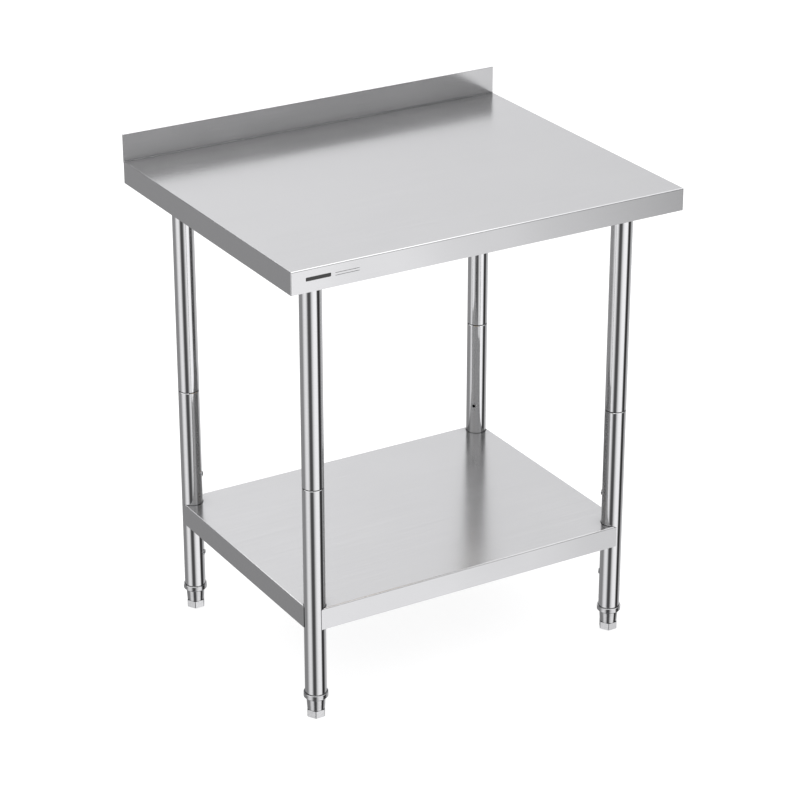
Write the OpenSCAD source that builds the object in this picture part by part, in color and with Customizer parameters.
// Stainless steel work table with a backsplash and an undershelf.
// Origin: middle of the footprint on the floor. +X to the right along the front,
// +Y to the back, +Z up. Millimetres.

/* [Table top] */
// Width of the worktop, side to side
top_w = 762; // [610:1:1220]
// Depth of the worktop, front to back
top_d = 610; // [460:1:760]
// Height of the work surface above the floor
work_h = 864; // [840:1:940]
// Height of the folded apron around the worktop
apron_h = 40; // [36:1:48]
// Height of the backsplash above the work surface
splash_h = 50; // [30:1:110]
// Thickness of the worktop sheet
top_sheet = 1.2; // [1.0:0.1:1.5]
// Outside radius of the worktop's folded edges
top_bend = 2.0; // [1.8:0.1:4.0]

/* [Legs] */
// Outside diameter of the leg tube
leg_d = 38; // [32:1:42]
// Wall thickness of the leg tube
leg_wall = 1.2; // [1.0:0.1:2.0]
// From the worktop's side face to a leg's centre
leg_side_inset = 74.5; // [65:0.5:110]
// From the worktop's front face to a front leg's centre
leg_front_inset = 73; // [65:0.5:110]
// From the worktop's back face to a back leg's centre
leg_back_inset = 76; // [65:0.5:110]
// Height of the joint between the upper and the lower leg
leg_joint_z = 440; // [380:1:560]

/* [Shelf] */
// Height of the shelf's top surface
shelf_z = 214.8; // [210:0.1:218]
// Height of the shelf's folded flanges
shelf_flange = 40; // [36:1:42]
// Thickness of the shelf sheet
shelf_sheet = 0.8; // [0.8:0.1:1.2]
// Outside radius of the shelf's folded edges
shelf_bend = 2.2; // [1.8:0.1:3.0]

/* [Feet] */
// Size of the foot's hexagon across its flats
hex_flats = 30.2; // [28:0.1:32]
// Height of the foot's hexagon
hex_h = 13.5; // [10:0.5:15]
// Height of the collar's lower edge above the floor
collar_z = 36; // [32:1:40]

/* [Hidden] */

$fn = 64;
eps = 0.1;
fit_gap = 0.05;
free_gap = 0.2;

// Corners as [x side, y side]
FL = [-1, -1];
FR = [1, -1];
BL = [-1, 1];
BR = [1, 1];
CORNERS = [FL, FR, BL, BR];

// Worktop
apron_z = work_h - apron_h;
top_lip = 12;
corner_r = 1.6;
inner_corner_r = 0.5;
splash_t = 2 * top_sheet;
cove_r = 0.8;

// Core board under the sheet
board_t = 12;
board_gap = 2.5;
board_top = work_h - top_sheet;
board_z = board_top - board_t;

// Hat channels
channel_h = 15;
channel_t = 1.2;
channel_crown = 80;
channel_flange = 20;
channel_end_gap = 25;
channel_len = top_d - 2 * channel_end_gap;
channel_z = board_z - channel_h;
channel_screw_r = 2;
channel_screw_deep = 9;
channel_head_r = 4;
channel_head_h = 1.8;
driver_cross_w = 0.9;
driver_cross_deep = 0.9;
channel_screw_edge = 40;
channel_screw_x = channel_crown / 2 + channel_flange / 2;
channel_screw_rows = 4;
channel_screw_pitch = (channel_len - 2 * channel_screw_edge) / (channel_screw_rows - 1);

// Leg sockets
leg_r = leg_d / 2;
leg_in_r = leg_r - leg_wall;
leg_x = top_w / 2 - leg_side_inset;
plate_w = 70;
plate_t = 3;
plate_corner_r = 5;
plate_z = channel_z - plate_t;
plate_hole = 27;
plate_screw_r = 2.5;
plate_screw_len = 10;
plate_head_r = 4.6;
plate_head_h = 3;
plate_key_r = 2;
plate_key_deep = 1.8;
cup_h = 31;
cup_gap = 0.25;
cup_wall = 2.2;
cup_r = leg_r + cup_gap + cup_wall;
weld_leg = 3;
grub_r = 3;
grub_z = plate_z - cup_h / 2;
grub_out = cup_r + 7;
grub_key_r = 1.65;
grub_key_deep = 3;
boss_r = 6.5;
boss_out = cup_r + 5;

// Leg joint
groove_h = 2;
groove_deep = 0.9;
coupler_len = 80;
coupler_wall = 1.7;
coupler_r = leg_in_r - 0.1;
tube_chamfer = 0.5;
lower_leg_z = collar_z + 5;

// Rivet nuts for the shelf, on the side of each leg that faces the middle
nut_pitch = 80;
nut_below_shelf = 21.8;
nut_z = shelf_z - nut_below_shelf;
nut_heights = [nut_z - nut_pitch, nut_z, nut_z + nut_pitch];
nut_r = 4.5;
nut_bore_r = 3;
nut_flange_r = 5.2;
nut_flange_t = 1.5;
nut_crimp_r = 5.6;
nut_crimp_h = 2.5;
nut_crimp_gap = 1;
nut_len = 13;
nut_face = leg_r + fit_gap + nut_flange_t;

// Shelf
shelf_proud = 0.6;
shelf_x = leg_x + leg_r + shelf_proud;
shelf_y0 = -top_d / 2 + leg_front_inset - leg_r - shelf_proud;
shelf_y1 = top_d / 2 - leg_back_inset + leg_r + shelf_proud;
shelf_d = shelf_y1 - shelf_y0;
shelf_mid_y = (shelf_y0 + shelf_y1) / 2;
shelf_base = shelf_z - shelf_flange;
shelf_under = shelf_z - shelf_sheet;
shelf_lip = 10;
notch_r = leg_r + 0.3;
notch_reach = leg_r + 5;
flange_end = 2.4;
side_flange_end = 3.6;
end_bevel_len = 6;
end_bevel_h = 2.4;
end_bevel_w = 1.5;

// Shelf corner saddles and their screws
saddle_r = sqrt(nut_face * nut_face + nut_flange_r * nut_flange_r) + free_gap;
saddle_t = 1.8;
saddle_clear = 1.2;
saddle_z = shelf_base + shelf_sheet + saddle_clear;
saddle_reach = leg_r + shelf_proud - shelf_sheet;
saddle_top_reach = leg_r + shelf_proud - shelf_bend;
saddle_step = shelf_bend - shelf_sheet;
saddle_hole_r = 3.3;
washer_r = 6;
washer_hole_r = 3.2;
washer_t = 1.2;
screw_r = nut_bore_r - fit_gap;
screw_len = 15;
screw_head_r = 5.4;
screw_head_h = 3.6;
screw_key_r = 2.3;
screw_key_deep = 2;

// Shelf stiffener
stiffener_h = 15;
stiffener_crown = 60;
stiffener_flange = 18;
stiffener_end_gap = 25;
stiffener_len = 2 * (shelf_x - stiffener_end_gap);

// Feet
stud_r = 6;
stud_bore_r = stud_r + fit_gap;
stud_tip = 1;
stud_z0 = 11;
stud_z1 = 85;
collar_r = leg_r + 2.5;
collar_h = 11;
collar_bevel = 0.5;
collar_cone = 2.2;
collar_seat_r = leg_r + 0.55;
socket_top = collar_z + 30;
socket_tip = 1;
glide_proud = 0.5;
hex_r = hex_flats / 2 / cos(30);
hex_top = glide_proud + hex_h;
hex_chamfer = 0.7;
hex_round_r = hex_r - 0.35;
barrel_top = collar_z - 0.3;
barrel_r0 = 15.4;
barrel_r1 = 16.7;
barrel_neck = 0.8;
barrel_bevel = 1;
glide_r = 12;
glide_t = 3.2;
glide_pin_r = 3;
glide_pin_top = 8.7;
recess_r = 12.5;
recess_top = 3.5;
pin_hole_r = glide_pin_r + fit_gap;
pin_hole_top = 9;

function leg_y(c) = c[1] < 0 ? -top_d / 2 + leg_front_inset : top_d / 2 - leg_back_inset;

// Moves to a leg's centre and mirrors, so that local +X and +Y point to the table's middle
module corner_frame(c) {
    translate([c[0] * leg_x, leg_y(c), 0])
        mirror([c[0] > 0 ? 1 : 0, 0, 0])
            mirror([0, c[1] > 0 ? 1 : 0, 0])
                children();
}

// Turns local +Z to point along the inward diagonal at height z
module inward(z) {
    translate([0, 0, z])
        rotate([0, 0, 45])
            rotate([0, 90, 0])
                children();
}

// Ring with straight walls, standing on z0
module ring(r_out, r_in, z0, h) {
    translate([0, 0, z0])
        difference() {
            cylinder(r = r_out, h = h);
            translate([0, 0, -eps]) cylinder(r = r_in, h = h + 2 * eps);
        }
}

// Upright rectangle on y = 0 with its two top corners rounded
module round_top(w, h, r) {
    translate([-w / 2, 0]) square([w, h - r]);
    translate([-w / 2 + r, 0]) square([w - 2 * r, h]);
    for (side = [-1, 1])
        translate([side * (w / 2 - r), h - r]) circle(r = r);
}

// Rectangle centred on the origin with rounded corners
module round_rect(w, d, r) {
    square([w - 2 * r, d], center = true);
    square([w, d - 2 * r], center = true);
    for (sx = [-1, 1], sy = [-1, 1])
        translate([sx * (w / 2 - r), sy * (d / 2 - r)]) circle(r = r);
}

// Block with its top edges rounded by r and its upright corners by rc
module soft_block(w, d, h, r, rc) {
    intersection() {
        rotate([90, 0, 0]) linear_extrude(height = d + 2, center = true) round_top(w, h, r);
        rotate([90, 0, 90]) linear_extrude(height = w + 2, center = true) round_top(d, h, r);
        linear_extrude(height = h) round_rect(w, d, rc);
    }
}

// Frame of a sheet lip, folded inward at the lower edge of a tray
module lip_frame(w, d, lip, t) {
    linear_extrude(height = t)
        difference() {
            square([w, d], center = true);
            square([w - 2 * lip, d - 2 * lip], center = true);
        }
}

// Hat-shaped channel, crown down at z = 0, running along Y
module hat_channel(crown, flange, h, t, len) {
    rotate([90, 0, 0])
        linear_extrude(height = len, center = true) {
            translate([-crown / 2, 0]) square([crown, t]);
            for (side = [-1, 1]) {
                translate([side * (crown / 2 - t / 2) - t / 2, 0]) square([t, h]);
                translate([side * (crown / 2 + flange / 2 - t / 2) - flange / 2 - t / 2, h - t])
                    square([flange + t, t]);
            }
        }
}

// Folded skin of the worktop: surface, aprons, lips and hemmed backsplash
module tabletop() {
    color("gainsboro") {
        translate([0, 0, apron_z]) {
            difference() {
                union() {
                    soft_block(top_w, top_d, apron_h, top_bend, corner_r);
                    back_fill();
                }
                translate([0, 0, -eps])
                    soft_block(top_w - 2 * top_sheet, top_d - 2 * top_sheet,
                               apron_h - top_sheet + eps, top_bend - top_sheet, inner_corner_r);
            }
            lip_frame(top_w - top_sheet, top_d - top_sheet, top_lip, top_sheet);
        }
        backsplash();
    }
}

// Squares off the worktop's back top edge, where the sheet turns up
module back_fill() {
    translate([-top_w / 2 + top_bend, top_d / 2 - 2 * top_bend, apron_h - 2 * top_bend])
        cube([top_w - 2 * top_bend, 2 * top_bend, 2 * top_bend]);
}

module backsplash() {
    rotate([90, 0, 90])
        linear_extrude(height = top_w, center = true) {
            translate([top_d / 2 - splash_t, work_h - top_bend])
                square([splash_t, splash_h + top_bend - splash_t / 2]);
            translate([top_d / 2 - splash_t / 2, work_h + splash_h - splash_t / 2])
                circle(r = splash_t / 2);
            translate([top_d / 2 - splash_t - cove_r, work_h - top_sheet / 2])
                difference() {
                    square([cove_r + top_sheet, cove_r + top_sheet / 2]);
                    translate([0, cove_r + top_sheet / 2]) circle(r = cove_r);
                }
        }
}

// Calls children at every channel screw of the channel centred on x
module at_channel_screws(x) {
    for (side = [-1, 1], row = [0 : channel_screw_rows - 1])
        translate([
            x + side * channel_screw_x,
            (row - (channel_screw_rows - 1) / 2) * channel_screw_pitch,
            board_z
        ])
            children();
}

module core_board() {
    w = top_w - 2 * (top_sheet + board_gap);
    d = top_d - 2 * (top_sheet + board_gap);
    color("burlywood")
        difference() {
            translate([-w / 2, -d / 2, board_z]) cube([w, d, board_t]);
            for (x = [-leg_x, 0, leg_x])
                at_channel_screws(x)
                    translate([0, 0, -eps])
                        cylinder(r = channel_screw_r + fit_gap, h = channel_screw_deep + 2 * eps);
        }
}

module channel(x, with_sockets) {
    color("darkgray")
        difference() {
            translate([x, 0, channel_z])
                hat_channel(channel_crown, channel_flange, channel_h, channel_t, channel_len);
            at_channel_screws(x)
                translate([0, 0, -channel_t - eps])
                    cylinder(r = channel_screw_r + free_gap, h = channel_t + 2 * eps);
            if (with_sockets)
                for (c = CORNERS)
                    if (sign(x) == c[0])
                        corner_frame(c)
                            at_plate_holes()
                                translate([0, 0, -eps])
                                    cylinder(r = plate_screw_r + fit_gap, h = channel_t + 2 * eps);
        }
}

module channel_screws() {
    color("silver")
        for (x = [-leg_x, 0, leg_x])
            at_channel_screws(x) {
                translate([0, 0, -channel_t]) cylinder(r = channel_screw_r, h = channel_screw_deep);
                translate([0, 0, -channel_t - channel_head_h])
                    difference() {
                        cylinder(r = channel_head_r, h = channel_head_h);
                        for (a = [0, 90])
                            rotate([0, 0, a])
                                cube([channel_head_r, driver_cross_w, 2 * driver_cross_deep],
                                     center = true);
                    }
            }
}

// Calls children at a socket plate's four holes, at the plate's top face
module at_plate_holes() {
    for (sx = [-1, 1], sy = [-1, 1])
        translate([sx * plate_hole, sy * plate_hole, channel_z]) children();
}

module leg_socket(c) {
    color("silver")
        corner_frame(c) {
            difference() {
                translate([0, 0, plate_z])
                    linear_extrude(height = plate_t) round_rect(plate_w, plate_w, plate_corner_r);
                at_plate_holes()
                    translate([0, 0, -plate_t - eps])
                        cylinder(r = plate_screw_r + free_gap, h = plate_t + 2 * eps);
            }
            difference() {
                union() {
                    translate([0, 0, plate_z - cup_h]) cylinder(r = cup_r, h = cup_h);
                    rotate_extrude()
                        polygon([
                            [cup_r - 1, plate_z - weld_leg], [cup_r, plate_z - weld_leg],
                            [cup_r + weld_leg, plate_z], [cup_r - 1, plate_z]
                        ]);
                    inward(grub_z) cylinder(r = boss_r, h = boss_out);
                }
                translate([0, 0, plate_z - cup_h - eps])
                    cylinder(r = leg_r + cup_gap, h = cup_h + eps);
                inward(grub_z) cylinder(r = grub_r + fit_gap, h = boss_out + eps);
            }
        }
}

module socket_screws() {
    color("silver")
        for (c = CORNERS)
            corner_frame(c)
                at_plate_holes() {
                    translate([0, 0, -plate_t]) cylinder(r = plate_screw_r, h = plate_screw_len);
                    translate([0, 0, -plate_t - plate_head_h])
                        difference() {
                            cylinder(r = plate_head_r, h = plate_head_h);
                            translate([0, 0, -eps])
                                cylinder(r = plate_key_r, h = plate_key_deep + eps, $fn = 6);
                        }
                }
}

module grub_screws() {
    color("dimgray")
        for (c = CORNERS)
            corner_frame(c)
                inward(grub_z)
                    difference() {
                        translate([0, 0, leg_r + fit_gap])
                            cylinder(r = grub_r, h = grub_out - leg_r - fit_gap);
                        translate([0, 0, grub_out - grub_key_deep])
                            cylinder(r = grub_key_r, h = grub_key_deep + eps, $fn = 6);
                    }
}

module upper_leg(c) {
    z0 = leg_joint_z + groove_h / 2;
    color("gainsboro") corner_frame(c) ring(leg_r, leg_in_r, z0, plate_z - z0);
}

// Plug inside both tubes; its narrow shoulder shows as the dark groove of the joint
module leg_coupler(c) {
    color("dimgray")
        corner_frame(c)
            difference() {
                union() {
                    translate([0, 0, leg_joint_z - coupler_len / 2])
                        cylinder(r = coupler_r, h = coupler_len);
                    translate([0, 0, leg_joint_z - groove_h / 2])
                        cylinder(r = leg_r - groove_deep, h = groove_h);
                }
                translate([0, 0, leg_joint_z - coupler_len / 2 - eps])
                    cylinder(r = coupler_r - coupler_wall, h = coupler_len + 2 * eps);
            }
}

module lower_leg(c) {
    z1 = leg_joint_z - groove_h / 2;
    color("gainsboro")
        corner_frame(c)
            difference() {
                rotate_extrude()
                    polygon([
                        [leg_in_r, lower_leg_z], [leg_r, lower_leg_z],
                        [leg_r, z1 - tube_chamfer], [leg_r - tube_chamfer, z1], [leg_in_r, z1]
                    ]);
                for (z = nut_heights)
                    inward(z) cylinder(r = nut_r + eps, h = 2 * leg_r);
            }
}

// Crimped threaded inserts, three to a leg
module rivet_nuts() {
    color("silver")
        for (c = CORNERS, z = nut_heights)
            corner_frame(c)
                inward(z)
                    difference() {
                        union() {
                            translate([0, 0, nut_face - nut_len]) cylinder(r = nut_r, h = nut_len);
                            translate([0, 0, nut_face - nut_flange_t])
                                cylinder(r = nut_flange_r, h = nut_flange_t);
                            translate([0, 0, leg_in_r - nut_crimp_gap - nut_crimp_h])
                                cylinder(r = nut_crimp_r, h = nut_crimp_h);
                        }
                        translate([0, 0, nut_face - nut_len - eps])
                            cylinder(r = nut_bore_r, h = nut_len + 2 * eps);
                    }
}

// Shelf sheet with folded flanges, cut back at each corner to pass the leg
module shelf_panel() {
    color("gainsboro")
        difference() {
            translate([0, shelf_mid_y, shelf_base]) {
                difference() {
                    soft_block(2 * shelf_x, shelf_d, shelf_flange, shelf_bend, corner_r);
                    translate([0, 0, -eps])
                        soft_block(2 * (shelf_x - shelf_sheet), shelf_d - 2 * shelf_sheet,
                                   shelf_flange - shelf_sheet + eps, shelf_bend - shelf_sheet,
                                   inner_corner_r);
                }
                lip_frame(2 * shelf_x - shelf_sheet, shelf_d - shelf_sheet, shelf_lip, shelf_sheet);
            }
            for (c = CORNERS)
                corner_frame(c) shelf_notch();
        }
}

// Space for a leg at a shelf corner, with the front or back flange's end bevelled
module shelf_notch() {
    h = shelf_flange + 2;
    translate([0, 0, shelf_base - 1]) {
        cylinder(r = notch_r, h = h);
        translate([-notch_reach, -notch_reach, 0])
            cube([notch_reach + flange_end, notch_reach, h]);
        translate([-notch_reach, -notch_reach, 0])
            cube([notch_reach, notch_reach + side_flange_end, h]);
    }
    translate([flange_end, -leg_r - shelf_proud + end_bevel_w, shelf_z])
        rotate([90, 0, 0])
            linear_extrude(height = 2 * end_bevel_w)
                polygon([
                    [-1, 1], [-1, -end_bevel_h], [0, -end_bevel_h],
                    [end_bevel_len, 0], [end_bevel_len, 1]
                ]);
}

module shelf_stiffener() {
    color("darkgray")
        translate([0, shelf_mid_y, shelf_under - stiffener_h])
            rotate([0, 0, 90])
                hat_channel(stiffener_crown, stiffener_flange, stiffener_h, channel_t, stiffener_len);
}

// Quarter round wall with two straight wings, from z0 up to z1
module saddle_wall(reach, z0, z1) {
    translate([0, 0, z0])
        linear_extrude(height = z1 - z0) {
            intersection() {
                difference() {
                    circle(r = saddle_r + saddle_t);
                    circle(r = saddle_r);
                }
                square(2 * leg_r);
            }
            translate([saddle_r, -reach]) square([saddle_t, reach]);
            translate([-reach, saddle_r]) square([reach, saddle_t]);
        }
}

// Concave corner wall that closes the notch and carries the shelf on its leg
module shelf_saddle(c) {
    color("silver")
        corner_frame(c)
            difference() {
                union() {
                    saddle_wall(saddle_reach, saddle_z, shelf_under - saddle_step);
                    saddle_wall(saddle_top_reach, saddle_z, shelf_under);
                }
                inward(nut_z) cylinder(r = saddle_hole_r, h = 2 * leg_r);
            }
}

module shelf_washers() {
    color("silver")
        for (c = CORNERS)
            corner_frame(c)
                inward(nut_z) ring(washer_r, washer_hole_r, saddle_r + saddle_t, washer_t);
}

module shelf_screws() {
    seat = saddle_r + saddle_t + washer_t;
    color("silver")
        for (c = CORNERS)
            corner_frame(c)
                inward(nut_z) {
                    translate([0, 0, seat - screw_len]) cylinder(r = screw_r, h = screw_len);
                    translate([0, 0, seat])
                        difference() {
                            cylinder(r = screw_head_r, h = screw_head_h);
                            translate([0, 0, screw_head_h - screw_key_deep])
                                cylinder(r = screw_key_r, h = screw_key_deep + eps, $fn = 6);
                        }
                }
}

// Collar and threaded plug at the foot of a leg tube; the tube stands in the collar's seat
module foot_socket(c) {
    top = collar_z + collar_h;
    color("silver")
        corner_frame(c)
            rotate_extrude()
                polygon([
                    [stud_bore_r, collar_z], [barrel_r1, collar_z],
                    [collar_r - collar_bevel, collar_z + collar_cone],
                    [collar_r, collar_z + collar_cone + collar_bevel],
                    [collar_r, top - collar_bevel], [collar_r - collar_bevel, top],
                    [collar_seat_r, top], [collar_seat_r, lower_leg_z],
                    [coupler_r, lower_leg_z], [coupler_r, socket_top - socket_tip],
                    [coupler_r - socket_tip, socket_top], [stud_bore_r, socket_top]
                ]);
}

// Bullet foot: tapered barrel on a hexagon for a spanner
module foot(c) {
    color("silver")
        corner_frame(c)
            difference() {
                union() {
                    intersection() {
                        translate([0, 0, glide_proud]) cylinder(r = hex_r, h = hex_h, $fn = 6);
                        rotate_extrude()
                            polygon([
                                [0, glide_proud], [hex_r - hex_chamfer, glide_proud],
                                [hex_round_r, glide_proud + hex_chamfer],
                                [hex_round_r, hex_top - hex_chamfer],
                                [hex_r - hex_chamfer, hex_top], [0, hex_top]
                            ]);
                    }
                    rotate_extrude()
                        polygon([
                            [0, hex_top - 1], [barrel_r0 - barrel_neck, hex_top - 1],
                            [barrel_r0 - barrel_neck, hex_top + barrel_neck],
                            [barrel_r0, hex_top + barrel_neck],
                            [barrel_r1, barrel_top - barrel_bevel],
                            [barrel_r1 - barrel_bevel, barrel_top], [0, barrel_top]
                        ]);
                }
                translate([0, 0, stud_z0]) cylinder(r = stud_bore_r, h = collar_z);
                cylinder(r = recess_r, h = recess_top);
                cylinder(r = pin_hole_r, h = pin_hole_top);
            }
}

// Stud that screws in the foot socket; a plain shaft in place of its thread
module foot_stud(c) {
    color("darkgray")
        corner_frame(c)
            rotate_extrude()
                polygon([
                    [0, stud_z0], [stud_r, stud_z0], [stud_r, stud_z1 - stud_tip],
                    [stud_r - stud_tip, stud_z1], [0, stud_z1]
                ]);
}

// Nylon pad that stands still on the floor while the foot turns on its pin
module foot_glide(c) {
    color("dimgray")
        corner_frame(c) {
            cylinder(r = glide_r, h = glide_t);
            cylinder(r = glide_pin_r, h = glide_pin_top);
        }
}

tabletop();
core_board();
channel(-leg_x, true);  // channel_left
channel(0, false);  // channel_centre
channel(leg_x, true);  // channel_right
channel_screws();
leg_socket(FL);  // leg_socket_fl
leg_socket(FR);  // leg_socket_fr
leg_socket(BL);  // leg_socket_bl
leg_socket(BR);  // leg_socket_br
socket_screws();
grub_screws();
upper_leg(FL);  // upper_leg_fl
upper_leg(FR);  // upper_leg_fr
upper_leg(BL);  // upper_leg_bl
upper_leg(BR);  // upper_leg_br
leg_coupler(FL);  // leg_coupler_fl
leg_coupler(FR);  // leg_coupler_fr
leg_coupler(BL);  // leg_coupler_bl
leg_coupler(BR);  // leg_coupler_br
lower_leg(FL);  // lower_leg_fl
lower_leg(FR);  // lower_leg_fr
lower_leg(BL);  // lower_leg_bl
lower_leg(BR);  // lower_leg_br
rivet_nuts();
shelf_panel();
shelf_stiffener();
shelf_screws();
shelf_washers();
shelf_saddle(FL);  // shelf_saddle_fl
shelf_saddle(FR);  // shelf_saddle_fr
shelf_saddle(BL);  // shelf_saddle_bl
shelf_saddle(BR);  // shelf_saddle_br
foot_socket(FL);  // foot_socket_fl
foot_socket(FR);  // foot_socket_fr
foot_socket(BL);  // foot_socket_bl
foot_socket(BR);  // foot_socket_br
foot(FL);  // foot_fl
foot(FR);  // foot_fr
foot(BL);  // foot_bl
foot(BR);  // foot_br
foot_stud(FL);  // foot_stud_fl
foot_stud(FR);  // foot_stud_fr
foot_stud(BL);  // foot_stud_bl
foot_stud(BR);  // foot_stud_br
foot_glide(FL);  // foot_glide_fl
foot_glide(FR);  // foot_glide_fr
foot_glide(BL);  // foot_glide_bl
foot_glide(BR);  // foot_glide_br
